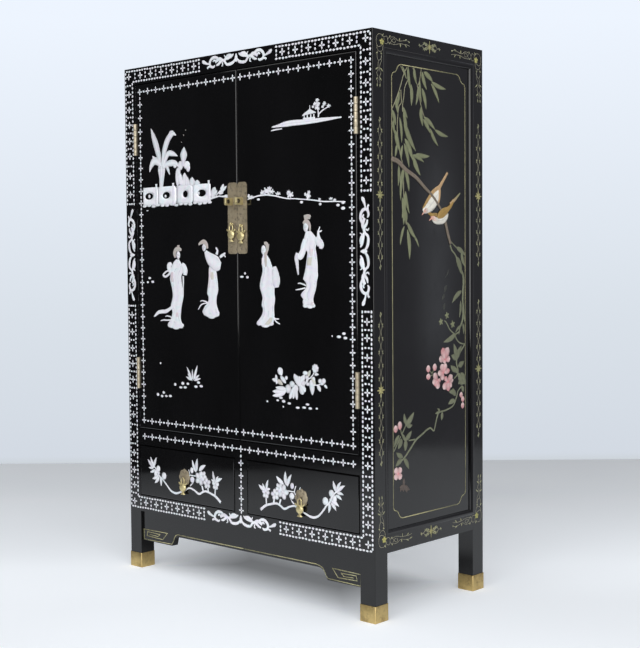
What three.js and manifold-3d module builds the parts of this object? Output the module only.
// A black lacquered cabinet on legs: a cupboard with two doors over two drawers, in one post and rail frame.
// Millimetres. x runs across to the right, y from the front face of the posts to the back, z up from the floor.
import * as THREE from "three";
import { ConvexGeometry } from "three/addons/geometries/ConvexGeometry.js";
import { mergeVertices } from "three/addons/utils/BufferGeometryUtils.js";
import Module from "manifold-3d";

const wasm = await Module();
wasm.setup();

// Whole cabinet
const width = 788;
const depth = 385;
const height = 1220;
const glueLine = 0.1; // between faces that are glued or seated
const letInGap = 0.3; // round a piece let into a recess
const overrun = 4; // how far every cut runs past the face that it opens

// Posts and rails
const postSide = 40;
const postArris = 1.5;
const railHeight = 40;
const railUnderside = 141; // floor to the underside of the bottom rails
const drawerOpening = 124;
const muntinWidth = 40;

// Boards
const topBoard = 18;
const floorBoard = 18;
const dustBoard = 18;
const shelfBoard = 18;
const shelfRise = 410; // dust board to the underside of the shelf
const shelfHousing = 4; // depth of the groove that carries the shelf
const shelfStopGap = 0.3; // the closed doors rest against the front edge of the shelf
const sideBoard = 18;
const sidePocket = 5; // depth of the sunk field
const sideBevel = 6;
const sideLand = 1; // flat rim between the bevel and the post
const backBoard = 12;
const backRecess = 4;
const guideHeight = 20;

// Apron under the front bottom rail
const apronBoard = 18;
const apronRecess = 5.5;
const apronMiddleDrop = 48;
const apronEndDrop = 72.3;
const apronEndWidths = { left: 108, right: 97 }; // cut by hand, so the two ends differ
const apronStepRuns = { left: 14, right: 28 };
const apronCurveShare = 0.4; // part of the step's height that is straight, before the curve
const apronSlopeShare = 0.2; // part of the step's run that the straight stretch takes

// Brass foot caps
const capHeight = 36;
const capWall = 1.25;

// Doors
const doorBoard = 20;
const doorProud = 2;
const doorGap = 2;
const doorArris = 2;

// Butt hinges
const hingeLength = 76;
const barrelRadius = 4.6;
const barrelProud = 3.5; // barrel's centre in front of the posts
const barrelInset = 1.5; // barrel's centre from the middle of the door gap, towards the door
const barrelRelief = 0.4;
const pinRadius = 2.2;
const pinGap = 0.2;
const leafThickness = 1.5;
const leafReach = 16; // back edge of the leaves behind the front of the posts
const leafGap = 0.4; // between the two closed leaves
const knuckleGap = 0.6;
const knuckleCount = 5;
const upperHingeDrop = 131; // top of the door to the middle of the hinge
const lowerHingeRise = 135; // bottom of the door to the middle of the hinge

// Lock plates and their lugs
const lockPlateBase = 768; // above the floor
const lockPlateHeight = 160;
const lockPlateWidth = 30;
const lockPlateGap = 1; // between the two plates
const lockPlateThickness = 1.25;
const lockPlateTopRadius = 9;
const lockPlateFootRadius = 6.5;
const lugRise = 117; // foot of the lock plate to the middle of the lug
const lugInset = 16; // middle of the lug from the plate's inner edge
const lugLength = 22.5;
const lugHeight = 17;
const lugThickness = 6;
const lugHoleRadius = 4;
const lugHoleReach = 14; // middle of the hole from the face of the plate

// Drop pulls, alike on the doors and the drawers
const pullInset = 15; // middle of a door pull from the plate's inner edge
const leftPullRise = 67; // foot of the lock plate to the pivot
const rightPullRise = 63;
const pullStandoff = 5; // face of the plate to the pivot
const eyeRadius = 3.6;
const eyeHoleRadius = 1.75;
const eyeThickness = 3;
const shankHeight = 4;
const dropHeight = 41;
const dropWidth = 28;
const bailWidth = 12.4;
const bailHeight = 17;
const bailWire = 2.4;
const wireBevel = 0.7;
const bodyRadius = 10.5;
const bodyDepth = 8.8;
// Half of the collar's outline, as shares of half the drop's width and of its height, from the top down
const collarShares = [
  [0, 0.34], [0.36, 0.34], [0.6, 0.385], [0.84, 0.36], [1, 0.375], [1, 0.43], [0.84, 0.465], [0.5, 0.49], [0, 0.5],
];
// The body's profile, as shares of its radius and of the drop's height, from the top down
const bodyShares = [
  [0, 0.37], [0.45, 0.38], [0.62, 0.44], [0.6, 0.48], [0.88, 0.55], [1, 0.63], [0.92, 0.72], [0.62, 0.81],
  [0.36, 0.87], [0.62, 0.94], [0.66, 0.98], [0, 1],
];

// Lobed plates behind the drawer pulls
const drawerPlateWidth = 34;
const drawerPlateHeight = 39;
const drawerPlateThickness = 1.25;
const drawerPlateLobes = 4;
const drawerPlateShifts = { left: [-3.4, -1.5], right: [1.5, -5] }; // off the middle of each front: set by eye
const lobeShare = 0.12; // how far the outline draws in between the lobes

// Drawers
const drawerFront = 20;
const drawerProud = 1;
const drawerGap = 2; // round the front, in its opening
const drawerArris = 2;
const drawerSide = 12;
const drawerSideHeight = 100;
const drawerBack = 12;
const drawerBottom = 6;
const drawerBottomRise = 8;
const drawerGroove = 6;
const drawerRunGap = 0.3; // under the sides
const drawerEndGap = 1; // between the closed drawer and the back board

// Facets
const arcSteps = 5;
const bevelSteps = 2;
const roundSteps = 12;
const bodySteps = 12;
const lobeSteps = 32;

// Faces that several pieces share
const postInner = width / 2 - postSide; // inner face of the posts, from the middle
const postBack = postSide; // back face of the front posts
const rearPostFront = depth - postSide;
const sideInner = width / 2 - sideBoard;
const bottomRailTop = railUnderside + railHeight;
const midRailBottom = bottomRailTop + drawerOpening;
const midRailTop = midRailBottom + railHeight;
const topRailBottom = height - railHeight;
const backBoardBack = depth - backRecess;
const backBoardFront = backBoardBack - backBoard;
const shelfBottom = midRailTop + shelfRise;
const doorFace = -doorProud;
const doorBottom = midRailTop + doorGap;
const doorTop = topRailBottom - doorGap;
const doorOuter = postInner - doorGap;
const plateFace = doorFace - lockPlateThickness;
const capReach = glueLine + capWall;
const lugTip = plateFace - lugLength;

const gapMiddle = postInner - doorGap / 2;
const bedDepth = leafGap / 2 + leafThickness + letInGap; // from the middle of the door gap to a leaf's bed
const hingeX = gapMiddle - barrelInset;
const hingeY = -barrelProud;
const hinges = [
  { level: "upper", middle: doorTop - upperHingeDrop },
  { level: "lower", middle: doorBottom + lowerHingeRise },
];
const hands = [
  { hand: "left", side: -1, pullRise: leftPullRise },
  { hand: "right", side: 1, pullRise: rightPullRise },
];

const lacquer = new THREE.MeshStandardMaterial({ color: 0x0c0a0a, roughness: 0.14, metalness: 0 });
const innerLacquer = new THREE.MeshStandardMaterial({ color: 0x17110e, roughness: 0.45, metalness: 0 });
const bareWood = new THREE.MeshStandardMaterial({ color: 0x8a6a48, roughness: 0.65, metalness: 0 });
const capBrass = new THREE.MeshStandardMaterial({ color: 0xa8893f, roughness: 0.38, metalness: 1 });
const agedBrass = new THREE.MeshStandardMaterial({ color: 0x77685a, roughness: 0.5, metalness: 1 });
const brightBrass = new THREE.MeshStandardMaterial({ color: 0xc9a95a, roughness: 0.25, metalness: 1 });
const hingeBrass = new THREE.MeshStandardMaterial({ color: 0xb3a48c, roughness: 0.4, metalness: 1 });

function named(name, geometry, finish) {
  const mesh = new THREE.Mesh(geometry, finish);
  mesh.name = name;
  return mesh;
}

// A rectangular piece between two opposite corners, half a glue line inside each face
function board(name, finish, low, high) {
  const size = low.map((value, axis) => high[axis] - value - glueLine);
  const mesh = named(name, new THREE.BoxGeometry(...size), finish);
  mesh.position.set(...low.map((value, axis) => (value + high[axis]) / 2));
  return mesh;
}

// The same, with its corners given from one side of the cabinet to the other in either order
function sidedBoard(name, finish, low, high) {
  const ordered = [Math.min(low[0], high[0]), Math.max(low[0], high[0])];
  return board(name, finish, [ordered[0], low[1], low[2]], [ordered[1], high[1], high[2]]);
}

function boxBetween(low, high) {
  const size = low.map((value, axis) => Math.abs(high[axis] - value));
  const middle = low.map((value, axis) => (value + high[axis]) / 2);
  return new THREE.BoxGeometry(...size).translate(...middle);
}

function uprightCylinder(radius, x, y, bottom, top) {
  const cylinder = new THREE.CylinderGeometry(radius, radius, top - bottom, roundSteps);
  return cylinder.rotateX(Math.PI / 2).translate(x, y, (bottom + top) / 2);
}

// An outline drawn in x and z, made solid from its back face forward
function facingSolid(shape, back, thickness, bevel = 0) {
  const geometry = new THREE.ExtrudeGeometry(shape, {
    depth: thickness - bevel * 2,
    bevelEnabled: bevel > 0,
    bevelThickness: bevel,
    bevelSize: bevel,
    bevelOffset: -bevel,
    bevelSegments: bevelSteps,
    curveSegments: arcSteps,
  });
  return geometry.rotateX(Math.PI / 2).translate(0, back - bevel, 0);
}

// An outline drawn in y and z, made solid on both sides of one x
function crossSolid(shape, middle, thickness) {
  const geometry = new THREE.ExtrudeGeometry(shape, {
    depth: thickness,
    bevelEnabled: false,
    curveSegments: arcSteps,
  });
  const turn = new THREE.Matrix4().makeBasis(
    new THREE.Vector3(0, 1, 0),
    new THREE.Vector3(0, 0, 1),
    new THREE.Vector3(1, 0, 0),
  );
  return geometry.applyMatrix4(turn).translate(middle - thickness / 2, 0, 0);
}

// An outline drawn in x and y, made solid upwards
function risingSolid(shape, bottom, top) {
  const geometry = new THREE.ExtrudeGeometry(shape, {
    depth: top - bottom,
    bevelEnabled: false,
    curveSegments: arcSteps,
  });
  return geometry.translate(0, 0, bottom);
}

// Closed geometry to a solid: shared corners are merged and the flat slivers at a pole are dropped
function toSolid(geometry) {
  const bare = geometry.clone();
  bare.deleteAttribute("normal");
  bare.deleteAttribute("uv");
  const merged = mergeVertices(bare);
  const corners = merged.index.array;
  const kept = [];
  for (let i = 0; i < corners.length; i += 3) {
    const [a, b, c] = corners.slice(i, i + 3);
    if (a !== b && b !== c && c !== a) {
      kept.push(a, b, c);
    }
  }
  const vertProperties = merged.attributes.position.array;
  return new wasm.Manifold(new wasm.Mesh({ numProp: 3, vertProperties, triVerts: new Uint32Array(kept) }));
}

function fromSolid(solid) {
  const mesh = solid.getMesh();
  const geometry = new THREE.BufferGeometry();
  geometry.setAttribute("position", new THREE.BufferAttribute(new Float32Array(mesh.vertProperties), 3));
  geometry.setIndex(new THREE.BufferAttribute(new Uint32Array(mesh.triVerts), 1));
  const faceted = geometry.toNonIndexed();
  faceted.computeVertexNormals();
  return faceted;
}

// A geometry with others cut out of it
function cut(base, cutters) {
  return fromSolid(cutters.reduce((solid, cutter) => solid.subtract(toSolid(cutter)), toSolid(base)));
}

function joined(pieces) {
  return fromSolid(pieces.map(toSolid).reduce((solid, piece) => solid.add(piece)));
}

function rectangle(left, right, bottom, top) {
  const shape = new THREE.Shape();
  shape.moveTo(left, bottom);
  shape.lineTo(right, bottom);
  shape.lineTo(right, top);
  shape.lineTo(left, top);
  return shape;
}

// The recess for one hinge in a post or a door: a shallow bed for the leaf and a round relief for the barrel
function hingeCutters(side, middle, bedFloor) {
  const low = middle - hingeLength / 2 - letInGap;
  const high = middle + hingeLength / 2 + letInGap;
  const barrel = uprightCylinder(barrelRadius + barrelRelief, side * hingeX, hingeY, low, high);
  const bed = boxBetween([side * gapMiddle, hingeY, low], [side * bedFloor, leafReach + letInGap, high]);
  return [bed, barrel];
}

function post(hand, side, end) {
  const isFront = end === "front";
  const outerX = side * (width / 2);
  const innerX = side * postInner;
  const outerY = isFront ? 0 : depth;
  const innerY = isFront ? postBack : rearPostFront;
  const inward = isFront ? postArris : -postArris;
  const plan = new THREE.Shape();
  plan.moveTo(innerX, innerY);
  plan.lineTo(innerX, outerY);
  plan.lineTo(outerX - side * postArris, outerY);
  plan.quadraticCurveTo(outerX, outerY, outerX, outerY + inward);
  plan.lineTo(outerX, innerY);
  const stick = risingSolid(plan, capWall + glueLine, height);
  const cutters = isFront ? hinges.flatMap(({ middle }) => hingeCutters(side, middle, gapMiddle + bedDepth)) : [];
  return named(`leg_${end}_${hand}`, cutters.length ? cut(stick, cutters) : stick, lacquer);
}

// A folded brass shoe, open at the top, round the foot of a post
function footCap(hand, side, end) {
  const near = end === "front" ? 0 : rearPostFront;
  const far = near + postSide;
  const inner = side * postInner;
  const outer = side * (width / 2);
  const left = Math.min(inner, outer);
  const right = Math.max(inner, outer);
  const shell = boxBetween([left - capReach, near - capReach, 0], [right + capReach, far + capReach, capHeight]);
  const pocket = boxBetween(
    [left - glueLine, near - glueLine, capWall],
    [right + glueLine, far + glueLine, capHeight + overrun],
  );
  return named(`foot_cap_${end}_${hand}`, cut(shell, [pocket]), capBrass);
}

function frontRails() {
  const rail = (name, bottom) => board(
    name,
    lacquer,
    [-postInner, 0, bottom],
    [postInner, postBack, bottom + railHeight],
  );
  const muntin = board(
    "drawer_muntin",
    lacquer,
    [-muntinWidth / 2, 0, bottomRailTop],
    [muntinWidth / 2, postBack, midRailBottom],
  );
  return [
    rail("top_rail_front", topRailBottom),
    rail("mid_rail_front", midRailBottom),
    rail("bottom_rail_front", railUnderside),
    muntin,
  ];
}

function sideAndBackRails() {
  const levels = [["top", topRailBottom], ["bottom", railUnderside]];
  return levels.flatMap(([level, bottom]) => [
    ...hands.map(({ hand, side }) => sidedBoard(
      `side_${level}_rail_${hand}`,
      lacquer,
      [side * postInner, postBack, bottom],
      [side * (width / 2), rearPostFront, bottom + railHeight],
    )),
    board(
      `back_${level}_rail`,
      lacquer,
      [-postInner, rearPostFront, bottom],
      [postInner, depth, bottom + railHeight],
    ),
  ]);
}

// The board across under the bottom rail, cut away in the middle with a curved step at each end
function apron() {
  const endBottom = railUnderside - apronEndDrop;
  const middleBottom = railUnderside - apronMiddleDrop;
  const straightRise = (middleBottom - endBottom) * apronCurveShare;
  const outer = postInner - glueLine;
  const shape = new THREE.Shape();
  shape.moveTo(-outer, railUnderside - glueLine);
  for (const side of [-1, 1]) {
    const end = side < 0 ? "left" : "right";
    const stepFoot = postInner - apronEndWidths[end];
    const straightRun = apronStepRuns[end] * apronSlopeShare;
    const foot = [side * stepFoot, endBottom];
    const bend = [side * (stepFoot - straightRun), endBottom + straightRise];
    const head = [side * (stepFoot - apronStepRuns[end]), middleBottom];
    const corner = [side * (stepFoot - straightRun * 2), middleBottom];
    if (side < 0) {
      shape.lineTo(-outer, endBottom);
      shape.lineTo(...foot);
      shape.lineTo(...bend);
      shape.quadraticCurveTo(...corner, ...head);
    } else {
      shape.lineTo(...head);
      shape.quadraticCurveTo(...corner, ...bend);
      shape.lineTo(...foot);
      shape.lineTo(outer, endBottom);
    }
  }
  shape.lineTo(outer, railUnderside - glueLine);
  return named("front_apron", facingSolid(shape, apronRecess + apronBoard, apronBoard), lacquer);
}

// A side board with a sunk field inside a bevel, and the groove for the shelf on its inner face
function sidePanel(hand, side) {
  const near = postBack + glueLine;
  const far = rearPostFront - glueLine;
  const low = bottomRailTop + glueLine;
  const high = topRailBottom - glueLine;
  const outer = side * (width / 2);
  const slab = boxBetween([side * sideInner, near, low], [outer, far, high]);
  const flare = sideBevel / sidePocket * overrun; // the bevel's slope carried past the face
  const ring = (x, inset) => [
    new THREE.Vector3(x, near + inset, low + inset),
    new THREE.Vector3(x, far - inset, low + inset),
    new THREE.Vector3(x, far - inset, high - inset),
    new THREE.Vector3(x, near + inset, high - inset),
  ];
  const field = new ConvexGeometry([
    ...ring(outer - side * sidePocket, sideLand + sideBevel),
    ...ring(outer + side * overrun, sideLand - flare),
  ]);
  const groove = boxBetween(
    [side * (sideInner - overrun), near - overrun, shelfBottom],
    [side * (sideInner + shelfHousing), far + overrun, shelfBottom + shelfBoard],
  );
  return named(`side_panel_${hand}`, cut(slab, [field, groove]), lacquer);
}

// A board that fits round the four posts, reaching to its own line on each side
function notchedBoard(name, halfWidth, front, back, bottom, top) {
  const wide = halfWidth - glueLine;
  const narrow = postInner - glueLine;
  const notchFront = postBack + glueLine;
  const notchBack = rearPostFront - glueLine;
  const plan = new THREE.Shape();
  plan.moveTo(-narrow, front);
  plan.lineTo(narrow, front);
  if (front < postBack) {
    plan.lineTo(narrow, notchFront);
    plan.lineTo(wide, notchFront);
  } else {
    plan.lineTo(wide, front);
  }
  plan.lineTo(wide, notchBack);
  plan.lineTo(narrow, notchBack);
  plan.lineTo(narrow, back);
  plan.lineTo(-narrow, back);
  plan.lineTo(-narrow, notchBack);
  plan.lineTo(-wide, notchBack);
  if (front < postBack) {
    plan.lineTo(-wide, notchFront);
    plan.lineTo(-narrow, notchFront);
  } else {
    plan.lineTo(-wide, front);
  }
  return named(name, risingSolid(plan, bottom + glueLine, top - glueLine), innerLacquer);
}

function innerBoards() {
  const backEdge = backBoardFront - glueLine;
  const shelfFront = doorBoard - doorProud + shelfStopGap;
  return [
    board(
      "top_panel",
      lacquer,
      [-postInner, postBack, height - topBoard],
      [postInner, rearPostFront, height],
    ),
    board(
      "floor_board",
      innerLacquer,
      [-postInner, postBack, bottomRailTop - floorBoard],
      [postInner, rearPostFront, bottomRailTop],
    ),
    notchedBoard("dust_board", sideInner, postBack + glueLine, backEdge, midRailTop - dustBoard, midRailTop),
    notchedBoard(
      "shelf",
      sideInner + shelfHousing - letInGap,
      shelfFront,
      backEdge,
      shelfBottom,
      shelfBottom + shelfBoard,
    ),
    board(
      "back_panel",
      innerLacquer,
      [-postInner, backBoardFront, bottomRailTop],
      [postInner, backBoardBack, topRailBottom],
    ),
    board(
      "drawer_guide",
      bareWood,
      [-muntinWidth / 2, postBack, bottomRailTop],
      [muntinWidth / 2, backBoardFront, bottomRailTop + guideHeight],
    ),
  ];
}

// One hinge leaf. The frame leaf carries the outer and middle knuckles and the pin, the door leaf the others.
function hingeLeaf(level, hand, side, middle, onFrame) {
  const bottom = middle - hingeLength / 2;
  const pitch = hingeLength / knuckleCount;
  const x = side * hingeX;
  const outward = onFrame ? 1 : -1;
  const nearFace = gapMiddle + outward * (leafGap / 2);
  const farFace = nearFace + outward * leafThickness;
  const plate = boxBetween(
    [side * nearFace, hingeY, bottom],
    [side * farFace, leafReach, bottom + hingeLength],
  );
  let solid = toSolid(plate);
  const knuckles = [];
  for (let i = 0; i < knuckleCount; i += 1) {
    const low = bottom + pitch * i;
    const isOwn = (i % 2 === 0) === onFrame;
    if (isOwn) {
      const trim = knuckleGap / 2;
      knuckles.push(uprightCylinder(barrelRadius, x, hingeY, low + trim, low + pitch - trim));
    } else {
      const sweep = uprightCylinder(barrelRadius + letInGap, x, hingeY, low, low + pitch);
      solid = solid.subtract(toSolid(sweep));
    }
  }
  knuckles.forEach((knuckle) => {
    solid = solid.add(toSolid(knuckle));
  });
  const end = knuckleGap / 2;
  if (onFrame) {
    solid = solid.add(toSolid(uprightCylinder(pinRadius, x, hingeY, bottom + end, bottom + hingeLength - end)));
  } else {
    const bore = uprightCylinder(pinRadius + pinGap, x, hingeY, bottom - end, bottom + hingeLength + end);
    solid = solid.subtract(toSolid(bore));
  }
  const place = onFrame ? "frame" : "door";
  return named(`hinge_${level}_${hand}_${place}_leaf`, fromSolid(solid), hingeBrass);
}

function door(hand, side) {
  const inner = doorGap / 2;
  const shape = rectangle(
    Math.min(side * inner, side * doorOuter),
    Math.max(side * inner, side * doorOuter),
    doorBottom,
    doorTop,
  );
  const slab = facingSolid(shape, doorBoard - doorProud, doorBoard, doorArris);
  const cutters = hinges.flatMap(({ middle }) => hingeCutters(side, middle, gapMiddle - bedDepth));
  return named(`door_${hand}`, cut(slab, cutters), lacquer);
}

function lockPlate(hand, side) {
  const inner = lockPlateGap / 2;
  const left = Math.min(side * inner, side * (inner + lockPlateWidth));
  const right = left + lockPlateWidth;
  const bottom = lockPlateBase;
  const top = lockPlateBase + lockPlateHeight;
  const shape = new THREE.Shape();
  shape.moveTo(left + lockPlateFootRadius, bottom);
  shape.lineTo(right - lockPlateFootRadius, bottom);
  shape.quadraticCurveTo(right, bottom, right, bottom + lockPlateFootRadius);
  shape.lineTo(right, top - lockPlateTopRadius);
  shape.quadraticCurveTo(right, top, right - lockPlateTopRadius, top);
  shape.lineTo(left + lockPlateTopRadius, top);
  shape.quadraticCurveTo(left, top, left, top - lockPlateTopRadius);
  shape.lineTo(left, bottom + lockPlateFootRadius);
  shape.quadraticCurveTo(left, bottom, left + lockPlateFootRadius, bottom);
  const thickness = lockPlateThickness - glueLine;
  return named(`lock_plate_${hand}`, facingSolid(shape, doorFace - glueLine, thickness), agedBrass);
}

// A tab that stands out of the plate, round at its tip, with a hole across it for a padlock
function lockLug(hand, side) {
  const middle = lockPlateBase + lugRise;
  const half = lugHeight / 2;
  const tipCentre = lugTip + half;
  const root = plateFace - glueLine;
  const shape = new THREE.Shape();
  shape.moveTo(root, middle - half);
  shape.lineTo(root, middle + half);
  shape.lineTo(tipCentre, middle + half);
  shape.absarc(tipCentre, middle, half, Math.PI / 2, Math.PI * 3 / 2, false);
  const hole = new THREE.Path();
  hole.absarc(plateFace - lugHoleReach, middle, lugHoleRadius, 0, Math.PI * 2, true);
  shape.holes.push(hole);
  const x = side * (lockPlateGap / 2 + lugInset);
  return named(`lock_lug_${hand}`, crossSolid(shape, x, lugThickness), brightBrass);
}

// The eye that a pull hangs in, on a short shank from the face of its plate
function pullEye(x, face, pivotZ) {
  const pivotY = face - pullStandoff;
  const half = shankHeight / 2;
  const lean = Math.asin(half / eyeRadius);
  const shape = new THREE.Shape();
  shape.moveTo(face, pivotZ - half);
  shape.lineTo(face, pivotZ + half);
  shape.lineTo(pivotY + eyeRadius * Math.cos(lean), pivotZ + half);
  shape.absarc(pivotY, pivotZ, eyeRadius, lean, Math.PI * 2 - lean, false);
  const hole = new THREE.Path();
  hole.absarc(pivotY, pivotZ, eyeHoleRadius, 0, Math.PI * 2, true);
  shape.holes.push(hole);
  return crossSolid(shape, x, eyeThickness);
}

// A vase-shaped drop: a wire bail through the eye, a collar with turned-out tips, and a flattened round body
function pullDrop(x, face, pivotZ) {
  const pivotY = face - pullStandoff;
  const top = bailWire / 2;
  const half = bailWidth / 2;
  const bailFoot = top - bailHeight;
  const bail = new THREE.Shape();
  bail.moveTo(-half, bailFoot);
  bail.lineTo(half, bailFoot);
  bail.lineTo(half, top - half);
  bail.absarc(0, top - half, half, 0, Math.PI, false);
  const inside = new THREE.Path();
  const innerHalf = half - bailWire;
  const innerFoot = bailFoot + bailWire;
  inside.moveTo(-innerHalf, innerFoot);
  inside.lineTo(-innerHalf, top - half);
  inside.absarc(0, top - half, innerHalf, Math.PI, 0, true);
  inside.lineTo(innerHalf, innerFoot);
  bail.holes.push(inside);
  const collar = new THREE.Shape();
  const rightEdge = collarShares.map(([across, down]) => [across * dropWidth / 2, top - down * dropHeight]);
  const leftEdge = rightEdge.slice(1, -1).reverse().map(([across, z]) => [-across, z]);
  [...rightEdge, ...leftEdge].forEach(([across, z], i) => {
    if (i === 0) {
      collar.moveTo(across, z);
    } else {
      collar.lineTo(across, z);
    }
  });
  const profile = bodyShares.map(([out, down]) => new THREE.Vector2(out * bodyRadius, top - down * dropHeight));
  const body = new THREE.LatheGeometry(profile.reverse(), bodySteps).rotateX(Math.PI / 2);
  body.scale(1, bodyDepth / 2 / bodyRadius, 1);
  const flat = (shape) => facingSolid(shape, bailWire / 2, bailWire, wireBevel);
  return joined([flat(bail), flat(collar), body]).translate(x, pivotY, pivotZ);
}

function doorFittings(hand, side, pullRise) {
  const pullX = side * (lockPlateGap / 2 + pullInset);
  const pivotZ = lockPlateBase + pullRise;
  return [
    lockPlate(hand, side),
    lockLug(hand, side),
    named(`door_pull_eye_${hand}`, pullEye(pullX, plateFace - glueLine, pivotZ), brightBrass),
    named(`door_pull_drop_${hand}`, pullDrop(pullX, plateFace - glueLine, pivotZ), brightBrass),
    ...hinges.flatMap(({ level, middle }) => [
      hingeLeaf(level, hand, side, middle, true),
      hingeLeaf(level, hand, side, middle, false),
    ]),
  ];
}

function drawerPlate(x, middle) {
  const shape = new THREE.Shape();
  for (let i = 0; i < lobeSteps; i += 1) {
    const angle = Math.PI * 2 * i / lobeSteps;
    const ripple = 1 - lobeShare * (1 - Math.cos(angle * drawerPlateLobes)) / 2;
    const across = x + drawerPlateWidth / 2 * ripple * Math.cos(angle);
    const up = middle + drawerPlateHeight / 2 * ripple * Math.sin(angle);
    if (i === 0) {
      shape.moveTo(across, up);
    } else {
      shape.lineTo(across, up);
    }
  }
  return facingSolid(shape, -drawerProud - glueLine, drawerPlateThickness - glueLine);
}

// One drawer: a thick front, grooved sides, a bottom let into the grooves and a back standing on the bottom
function drawer(hand, side) {
  const name = (piece) => `drawer_${hand}_${piece}`;
  const left = side < 0 ? -(postInner - drawerGap) : muntinWidth / 2 + drawerGap;
  const right = side < 0 ? -(muntinWidth / 2 + drawerGap) : postInner - drawerGap;
  const frontBack = drawerFront - drawerProud;
  const base = bottomRailTop + drawerRunGap;
  const rear = backBoardFront - drawerEndGap;
  const sideTop = base + drawerSideHeight;
  const bottomLow = base + drawerBottomRise;
  const bottomHigh = bottomLow + drawerBottom;
  const frontShape = rectangle(left, right, bottomRailTop + drawerGap, midRailBottom - drawerGap);
  const grooved = (outer, inner) => {
    const reach = inner + Math.sign(outer - inner) * drawerGroove;
    const mouth = inner + Math.sign(inner - outer) * overrun;
    const stick = boxBetween([outer, frontBack + glueLine, base], [inner, rear, sideTop]);
    const groove = boxBetween([reach, -overrun, bottomLow - glueLine], [mouth, depth, bottomHigh + glueLine]);
    return cut(stick, [groove]);
  };
  const [shiftX, shiftZ] = drawerPlateShifts[hand];
  const middleX = (left + right) / 2 + shiftX;
  const middleZ = (bottomRailTop + midRailBottom) / 2 + shiftZ;
  const face = -drawerProud - drawerPlateThickness;
  const bottomInset = drawerSide - drawerGroove + letInGap;
  const plate = joined([drawerPlate(middleX, middleZ), pullEye(middleX, face + glueLine, middleZ)]);
  return [
    named(name("front"), facingSolid(frontShape, frontBack, drawerFront, drawerArris), lacquer),
    named(name("side_left"), grooved(left, left + drawerSide), bareWood),
    named(name("side_right"), grooved(right, right - drawerSide), bareWood),
    board(
      name("back"),
      bareWood,
      [left + drawerSide, rear - drawerBack, bottomHigh],
      [right - drawerSide, rear, sideTop],
    ),
    board(
      name("bottom"),
      bareWood,
      [left + bottomInset, frontBack, bottomLow],
      [right - bottomInset, rear, bottomHigh],
    ),
    named(name("pull_plate"), plate, agedBrass),
    named(name("pull_drop"), pullDrop(middleX, face, middleZ), brightBrass),
  ];
}

const cabinet = new THREE.Group();
for (const { hand, side, pullRise } of hands) {
  for (const end of ["front", "back"]) {
    cabinet.add(post(hand, side, end), footCap(hand, side, end));
  }
  cabinet.add(sidePanel(hand, side), door(hand, side), ...doorFittings(hand, side, pullRise));
  cabinet.add(...drawer(hand, side));
}
cabinet.add(...frontRails(), ...sideAndBackRails(), apron(), ...innerBoards());

// The origin is on the floor, under the middle of the whole piece from the lugs to the rear foot caps
cabinet.position.y = -(lugTip + depth + capReach) / 2;

export default cabinet;
